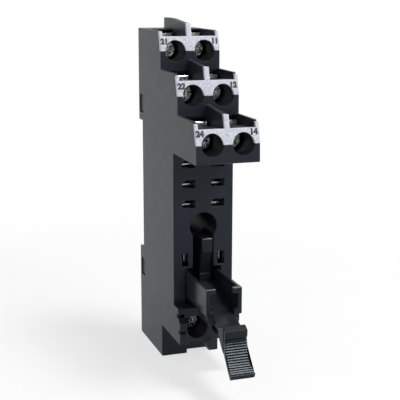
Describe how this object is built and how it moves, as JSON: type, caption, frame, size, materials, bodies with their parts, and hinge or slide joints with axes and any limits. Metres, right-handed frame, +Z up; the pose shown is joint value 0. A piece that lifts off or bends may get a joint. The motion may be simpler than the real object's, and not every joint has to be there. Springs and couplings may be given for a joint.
{
  "type": "relay socket",
  "caption": "Slim black rail-mounted socket for a plug-in relay, with stepped screw terminals, marking plates, a hinged relay clamp and a sprung rail clip.",
  "frame": {"origin": "centre of the rail seat, where the back of the socket lies on the mounting rail", "axes": "X across the socket, +Y into the rail and the panel, +Z up; the relay plugs in from -Y"},
  "size_m": [0.0158, 0.0601, 0.0888],
  "materials": {
    "housing_plastic": "moulded, fine spark-eroded texture",
    "cover_plastic": "moulded, fine spark-eroded texture",
    "clip_plastic": "moulded, smooth on the sliding faces",
    "clamp_plastic": "moulded, satin",
    "marking_plastic": "moulded in pale grey, numbers printed",
    "screw_steel": "zinc-plated",
    "clamp_steel": "folded sheet, zinc-plated",
    "contact_alloy": "stamped sheet, tin-plated"
  },
  "bodies": {
    "socket_body": {"housing": "housing_plastic", "rear_cover": "cover_plastic", "marking_plate_top": "marking_plastic", "marking_plate_middle": "marking_plastic", "marking_plate_bottom": "marking_plastic", "contact_strip_21": "contact_alloy", "contact_strip_11": "contact_alloy", "contact_strip_22": "contact_alloy", "contact_strip_12": "contact_alloy", "contact_strip_24": "contact_alloy", "contact_strip_14": "contact_alloy", "contact_strip_a2": "contact_alloy", "contact_strip_a1": "contact_alloy"},
    "rail_clip": {"rail_clip": "clip_plastic"},
    "relay_clamp": {"relay_clamp": "clamp_plastic"},
    "screw_21": {"terminal_screw_21": "screw_steel"},
    "clamp_21": {"wire_clamp_21": "clamp_steel"},
    "screw_11": {"terminal_screw_11": "screw_steel"},
    "clamp_11": {"wire_clamp_11": "clamp_steel"},
    "screw_22": {"terminal_screw_22": "screw_steel"},
    "clamp_22": {"wire_clamp_22": "clamp_steel"},
    "screw_12": {"terminal_screw_12": "screw_steel"},
    "clamp_12": {"wire_clamp_12": "clamp_steel"},
    "screw_24": {"terminal_screw_24": "screw_steel"},
    "clamp_24": {"wire_clamp_24": "clamp_steel"},
    "screw_14": {"terminal_screw_14": "screw_steel"},
    "clamp_14": {"wire_clamp_14": "clamp_steel"},
    "screw_a2": {"terminal_screw_a2": "screw_steel"},
    "clamp_a2": {"wire_clamp_a2": "clamp_steel"},
    "screw_a1": {"terminal_screw_a1": "screw_steel"},
    "clamp_a1": {"wire_clamp_a1": "clamp_steel"}
  },
  "joints": [
    {"name": "relay_clamp_pivot", "type": "hinge", "parent": "socket_body", "child": "relay_clamp", "pos_m": [0, -0.0266, -0.0219], "axis": [1, 0, 0], "range_deg": [0, 13]},
    {"name": "rail_clip_slide", "type": "slide", "parent": "socket_body", "child": "rail_clip", "axis": [0, 0, -1], "range_m": [0, 0.0024], "stiffness_N_per_m": 1500, "springref_m": -0.0012},
    {"name": "screw_21_turn", "type": "hinge", "parent": "socket_body", "child": "screw_21", "pos_m": [-0.00385, -0.00967, 0.0375], "axis": [0, 1, 0], "range_deg": [0, 1116.5]},
    {"name": "clamp_21_rise", "type": "slide", "parent": "socket_body", "child": "clamp_21", "axis": [0, -1, 0], "range_m": [0, 0.00155]},
    {"name": "screw_11_turn", "type": "hinge", "parent": "socket_body", "child": "screw_11", "pos_m": [0.00385, -0.00967, 0.0375], "axis": [0, 1, 0], "range_deg": [0, 1116.5]},
    {"name": "clamp_11_rise", "type": "slide", "parent": "socket_body", "child": "clamp_11", "axis": [0, -1, 0], "range_m": [0, 0.00155]},
    {"name": "screw_22_turn", "type": "hinge", "parent": "socket_body", "child": "screw_22", "pos_m": [-0.00385, -0.02371, 0.02763], "axis": [0, 1, 0], "range_deg": [0, 1116.5]},
    {"name": "clamp_22_rise", "type": "slide", "parent": "socket_body", "child": "clamp_22", "axis": [0, -1, 0], "range_m": [0, 0.00155]},
    {"name": "screw_12_turn", "type": "hinge", "parent": "socket_body", "child": "screw_12", "pos_m": [0.00385, -0.02371, 0.02763], "axis": [0, 1, 0], "range_deg": [0, 1116.5]},
    {"name": "clamp_12_rise", "type": "slide", "parent": "socket_body", "child": "clamp_12", "axis": [0, -1, 0], "range_m": [0, 0.00155]},
    {"name": "screw_24_turn", "type": "hinge", "parent": "socket_body", "child": "screw_24", "pos_m": [-0.00385, -0.03775, 0.01776], "axis": [0, 1, 0], "range_deg": [0, 1116.5]},
    {"name": "clamp_24_rise", "type": "slide", "parent": "socket_body", "child": "clamp_24", "axis": [0, -1, 0], "range_m": [0, 0.00155]},
    {"name": "screw_14_turn", "type": "hinge", "parent": "socket_body", "child": "screw_14", "pos_m": [0.00385, -0.03775, 0.01776], "axis": [0, 1, 0], "range_deg": [0, 1116.5]},
    {"name": "clamp_14_rise", "type": "slide", "parent": "socket_body", "child": "clamp_14", "axis": [0, -1, 0], "range_m": [0, 0.00155]},
    {"name": "screw_a2_turn", "type": "hinge", "parent": "socket_body", "child": "screw_a2", "pos_m": [-0.0033, -0.02674, -0.0307], "axis": [0, 1, 0], "range_deg": [0, 1116.5]},
    {"name": "clamp_a2_rise", "type": "slide", "parent": "socket_body", "child": "clamp_a2", "axis": [0, -1, 0], "range_m": [0, 0.00155]},
    {"name": "screw_a1_turn", "type": "hinge", "parent": "socket_body", "child": "screw_a1", "pos_m": [0.0033, -0.02674, -0.0307], "axis": [0, 1, 0], "range_deg": [0, 1116.5]},
    {"name": "clamp_a1_rise", "type": "slide", "parent": "socket_body", "child": "clamp_a1", "axis": [0, -1, 0], "range_m": [0, 0.00155]}
  ],
  "couplings": [
    {"joint": "screw_21_turn", "follows": "clamp_21_rise", "rad_per_m": 12566},
    {"joint": "screw_11_turn", "follows": "clamp_11_rise", "rad_per_m": 12566},
    {"joint": "screw_22_turn", "follows": "clamp_22_rise", "rad_per_m": 12566},
    {"joint": "screw_12_turn", "follows": "clamp_12_rise", "rad_per_m": 12566},
    {"joint": "screw_24_turn", "follows": "clamp_24_rise", "rad_per_m": 12566},
    {"joint": "screw_14_turn", "follows": "clamp_14_rise", "rad_per_m": 12566},
    {"joint": "screw_a2_turn", "follows": "clamp_a2_rise", "rad_per_m": 12566},
    {"joint": "screw_a1_turn", "follows": "clamp_a1_rise", "rad_per_m": 12566}
  ]
}
